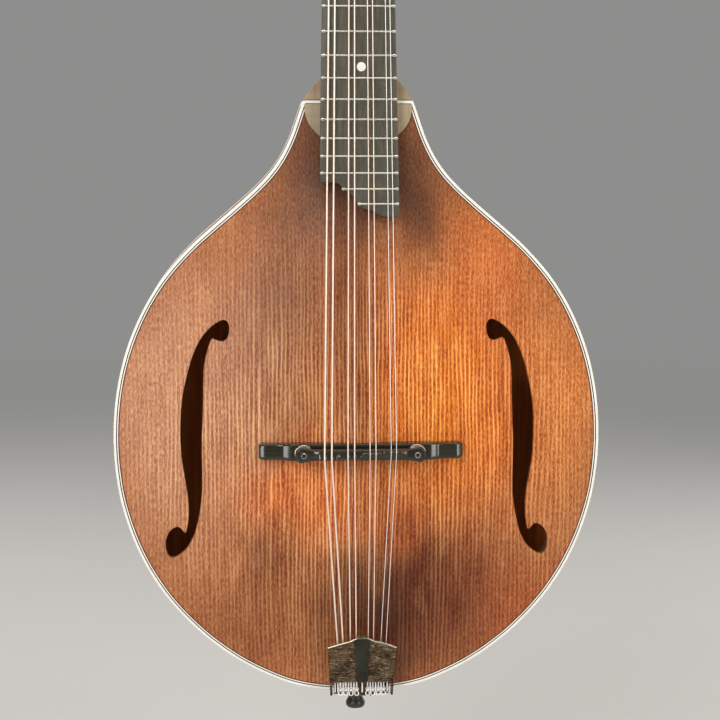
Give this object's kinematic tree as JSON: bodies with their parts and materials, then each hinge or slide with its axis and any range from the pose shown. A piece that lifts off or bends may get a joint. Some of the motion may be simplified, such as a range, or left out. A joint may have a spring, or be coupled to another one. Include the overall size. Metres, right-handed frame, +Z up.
{
  "type": "mandolin",
  "caption": "Long-scale f-hole mandolin with an oval arched body, paired strings, height-adjustable bridge, geared tuners and an ebony fingerboard.",
  "frame": {"origin": "the hanging point: on the instrument's mid-plane at the nut line, in the thickness of the neck, where a wall hanger's yoke takes the headstock", "axes": "+Z up along the strings towards the headstock, -Y out of the front, +X to the treble side"},
  "size_m": [0.3244, 0.1311, 0.9202],
  "materials": {
    "spruce_top": "satin stained spruce, straight grain, darker rim, amber centre",
    "maple_back": "satin stained figured maple",
    "neck_wood": "satin grey-brown stained maple",
    "inner_wood": "raw spruce and mahogany",
    "ebony": "polished ebony",
    "fingerboard": "oiled ebony with nickel-silver frets",
    "binding": "aged ivory-coloured, buffed",
    "bone": "polished bone",
    "nickel": "nickel plated",
    "tail_metal": "worn polished cast metal",
    "steel": "plain steel",
    "bronze_wire": "bronze wound wire",
    "button": "pearl-white button"
  },
  "bodies": {
    "root": {"top_plate": "spruce_top", "back_plate": "maple_back", "rib_bass": "maple_back", "rib_treble": "maple_back", "top_binding": "binding", "back_binding": "binding", "neck_block": "inner_wood", "tail_block": "inner_wood", "lining_top_bass": "inner_wood", "lining_top_treble": "inner_wood", "lining_back_bass": "inner_wood", "lining_back_treble": "inner_wood", "tone_bar_bass": "inner_wood", "tone_bar_treble": "inner_wood", "neck": "neck_wood", "truss_rod": "steel", "fingerboard": "fingerboard", "fingerboard_riser": "neck_wood", "nut": "bone", "headstock_overlay": "ebony", "truss_rod_cover": "ebony", "bridge_base": "ebony", "bridge_post_bass": "nickel", "bridge_post_treble": "nickel", "tailpiece_base": "tail_metal", "tailpiece_cover": "tail_metal", "end_pin": "ebony", "tuner_plate_bass": "nickel", "tuner_plate_treble": "nickel", "string_1": "bronze_wire", "string_2": "bronze_wire", "string_3": "bronze_wire", "string_4": "bronze_wire", "string_5": "bronze_wire", "string_6": "bronze_wire", "string_7": "steel", "string_8": "steel"},
    "truss_rod_nut": {"truss_rod_nut": "steel"},
    "saddle": {"bridge_saddle": "ebony"},
    "thumbwheel_bass": {"thumbwheel_bass": "nickel"},
    "thumbwheel_treble": {"thumbwheel_treble": "nickel"},
    "post_bass_1": {"tuner_post_bass_1": "nickel"},
    "button_bass_1": {"tuner_button_bass_1": "button"},
    "post_bass_2": {"tuner_post_bass_2": "nickel"},
    "button_bass_2": {"tuner_button_bass_2": "button"},
    "post_bass_3": {"tuner_post_bass_3": "nickel"},
    "button_bass_3": {"tuner_button_bass_3": "button"},
    "post_bass_4": {"tuner_post_bass_4": "nickel"},
    "button_bass_4": {"tuner_button_bass_4": "button"},
    "post_treble_1": {"tuner_post_treble_1": "nickel"},
    "button_treble_1": {"tuner_button_treble_1": "button"},
    "post_treble_2": {"tuner_post_treble_2": "nickel"},
    "button_treble_2": {"tuner_button_treble_2": "button"},
    "post_treble_3": {"tuner_post_treble_3": "nickel"},
    "button_treble_3": {"tuner_button_treble_3": "button"},
    "post_treble_4": {"tuner_post_treble_4": "nickel"},
    "button_treble_4": {"tuner_button_treble_4": "button"}
  },
  "joints": [
    {"name": "saddle_lift", "type": "slide", "parent": "root", "child": "saddle", "axis": [0, -1, 0], "range_m": [-0.0014, 0.0025], "deforming": ["string_1", "string_2", "string_3", "string_4", "string_5", "string_6", "string_7", "string_8"]},
    {"name": "thumbwheel_bass_turn", "type": "hinge", "parent": "saddle", "child": "thumbwheel_bass", "pos_m": [-0.0368, -0.0597, -0.578], "axis": [0, -1, 0], "range_deg": [-640, 1130]},
    {"name": "thumbwheel_treble_turn", "type": "hinge", "parent": "saddle", "child": "thumbwheel_treble", "pos_m": [0.0373, -0.0597, -0.578], "axis": [0, -1, 0], "range_deg": [-640, 1130]},
    {"name": "truss_rod_nut_turn", "type": "hinge", "parent": "root", "child": "truss_rod_nut", "pos_m": [0, 0.00096, 0.012], "axis": [0, 0.0921, 0.9957], "range_deg": [-180, 180]},
    {"name": "tuner_button_bass_1_turn", "type": "hinge", "parent": "root", "child": "button_bass_1", "pos_m": [-0.03, 0.02792, 0.04402], "axis": [1, 0, 0], "continuous": true},
    {"name": "tuner_post_bass_1_turn", "type": "hinge", "parent": "root", "child": "post_bass_1", "pos_m": [-0.023, 0.00821, 0.04266], "axis": [0, -0.9439, 0.3303], "continuous": true},
    {"name": "tuner_button_bass_2_turn", "type": "hinge", "parent": "root", "child": "button_bass_2", "pos_m": [-0.03, 0.03551, 0.06573], "axis": [1, 0, 0], "continuous": true},
    {"name": "tuner_post_bass_2_turn", "type": "hinge", "parent": "root", "child": "post_bass_2", "pos_m": [-0.023, 0.0158, 0.06437], "axis": [0, -0.9439, 0.3303], "continuous": true},
    {"name": "tuner_button_bass_3_turn", "type": "hinge", "parent": "root", "child": "button_bass_3", "pos_m": [-0.03, 0.04311, 0.08744], "axis": [1, 0, 0], "continuous": true},
    {"name": "tuner_post_bass_3_turn", "type": "hinge", "parent": "root", "child": "post_bass_3", "pos_m": [-0.023, 0.0234, 0.08607], "axis": [0, -0.9439, 0.3303], "continuous": true},
    {"name": "tuner_button_bass_4_turn", "type": "hinge", "parent": "root", "child": "button_bass_4", "pos_m": [-0.03, 0.05071, 0.10915], "axis": [1, 0, 0], "continuous": true},
    {"name": "tuner_post_bass_4_turn", "type": "hinge", "parent": "root", "child": "post_bass_4", "pos_m": [-0.023, 0.031, 0.10778], "axis": [0, -0.9439, 0.3303], "continuous": true},
    {"name": "tuner_button_treble_1_turn", "type": "hinge", "parent": "root", "child": "button_treble_1", "pos_m": [0.03, 0.02792, 0.04402], "axis": [1, 0, 0], "continuous": true},
    {"name": "tuner_post_treble_1_turn", "type": "hinge", "parent": "root", "child": "post_treble_1", "pos_m": [0.023, 0.00821, 0.04266], "axis": [0, -0.9439, 0.3303], "continuous": true},
    {"name": "tuner_button_treble_2_turn", "type": "hinge", "parent": "root", "child": "button_treble_2", "pos_m": [0.03, 0.03551, 0.06573], "axis": [1, 0, 0], "continuous": true},
    {"name": "tuner_post_treble_2_turn", "type": "hinge", "parent": "root", "child": "post_treble_2", "pos_m": [0.023, 0.0158, 0.06437], "axis": [0, -0.9439, 0.3303], "continuous": true},
    {"name": "tuner_button_treble_3_turn", "type": "hinge", "parent": "root", "child": "button_treble_3", "pos_m": [0.03, 0.04311, 0.08744], "axis": [1, 0, 0], "continuous": true},
    {"name": "tuner_post_treble_3_turn", "type": "hinge", "parent": "root", "child": "post_treble_3", "pos_m": [0.023, 0.0234, 0.08607], "axis": [0, -0.9439, 0.3303], "continuous": true},
    {"name": "tuner_button_treble_4_turn", "type": "hinge", "parent": "root", "child": "button_treble_4", "pos_m": [0.03, 0.05071, 0.10915], "axis": [1, 0, 0], "continuous": true},
    {"name": "tuner_post_treble_4_turn", "type": "hinge", "parent": "root", "child": "post_treble_4", "pos_m": [0.023, 0.031, 0.10778], "axis": [0, -0.9439, 0.3303], "continuous": true}
  ],
  "couplings": [
    {"joint": "thumbwheel_bass_turn", "follows": "saddle_lift", "rad_per_m": 7854},
    {"joint": "thumbwheel_treble_turn", "follows": "saddle_lift", "rad_per_m": 7854},
    {"joint": "tuner_post_bass_1_turn", "follows": "tuner_button_bass_1_turn", "ratio": 0.071429},
    {"joint": "tuner_post_bass_2_turn", "follows": "tuner_button_bass_2_turn", "ratio": 0.071429},
    {"joint": "tuner_post_bass_3_turn", "follows": "tuner_button_bass_3_turn", "ratio": 0.071429},
    {"joint": "tuner_post_bass_4_turn", "follows": "tuner_button_bass_4_turn", "ratio": 0.071429},
    {"joint": "tuner_post_treble_1_turn", "follows": "tuner_button_treble_1_turn", "ratio": 0.071429},
    {"joint": "tuner_post_treble_2_turn", "follows": "tuner_button_treble_2_turn", "ratio": 0.071429},
    {"joint": "tuner_post_treble_3_turn", "follows": "tuner_button_treble_3_turn", "ratio": 0.071429},
    {"joint": "tuner_post_treble_4_turn", "follows": "tuner_button_treble_4_turn", "ratio": 0.071429}
  ]
}
